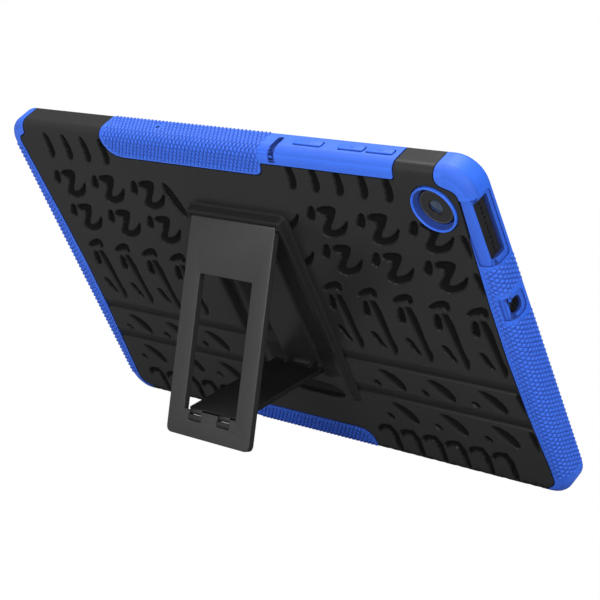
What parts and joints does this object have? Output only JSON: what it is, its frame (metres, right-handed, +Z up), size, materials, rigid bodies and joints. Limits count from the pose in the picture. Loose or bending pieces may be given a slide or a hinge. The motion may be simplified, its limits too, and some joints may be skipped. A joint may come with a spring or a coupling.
{
  "type": "tablet case",
  "caption": "Two-layer case for a tablet: soft blue tray, hard black tread-patterned back shell, push buttons on the top edge, camera hole, and a folding stand with a windowed leg and a strut.",
  "frame": {"origin": "middle of the whole object's base, on the surface it stands on", "axes": "+X along the case's long side towards the camera hole, +Z up, and the case leans back towards -Y, where its stand is"},
  "size_m": [0.254, 0.1068, 0.1263],
  "materials": {
    "blue_rubber": "satin, with fine raised grip dots on the pads",
    "black_plastic": "fine matte grain",
    "grey_plastic": "fine matte grain",
    "pin_steel": "drawn wire"
  },
  "bodies": {
    "case": {"inner_sleeve": "blue_rubber", "outer_shell": "black_plastic", "leg_hinge_pin": "pin_steel", "strut_hinge_pin": "pin_steel"},
    "leg": {"stand_leg": "grey_plastic"},
    "strut": {"stand_strut": "black_plastic"},
    "power": {"power_button": "blue_rubber"},
    "volume_up": {"volume_up_button": "blue_rubber"},
    "volume_down": {"volume_down_button": "blue_rubber"}
  },
  "joints": [
    {"name": "leg_fold", "type": "hinge", "parent": "case", "child": "leg", "pos_m": [0.0023, -0.03508, 0.08922], "axis": [1, 0, 0], "range_deg": [0, 40.5]},
    {"name": "strut_fold", "type": "hinge", "parent": "case", "child": "strut", "pos_m": [0.0023, 0.01387, 0.03108], "axis": [-1, 0, 0], "range_deg": [0, 74.2]},
    {"name": "power_press", "type": "slide", "parent": "case", "child": "power", "axis": [0, 0.6361, -0.7716], "range_m": [0, 0.0004], "stiffness_N_per_m": 400},
    {"name": "volume_up_press", "type": "slide", "parent": "case", "child": "volume_up", "axis": [0, 0.6361, -0.7716], "range_m": [0, 0.0004], "stiffness_N_per_m": 400},
    {"name": "volume_down_press", "type": "slide", "parent": "case", "child": "volume_down", "axis": [0, 0.6361, -0.7716], "range_m": [0, 0.0004], "stiffness_N_per_m": 400}
  ]
}
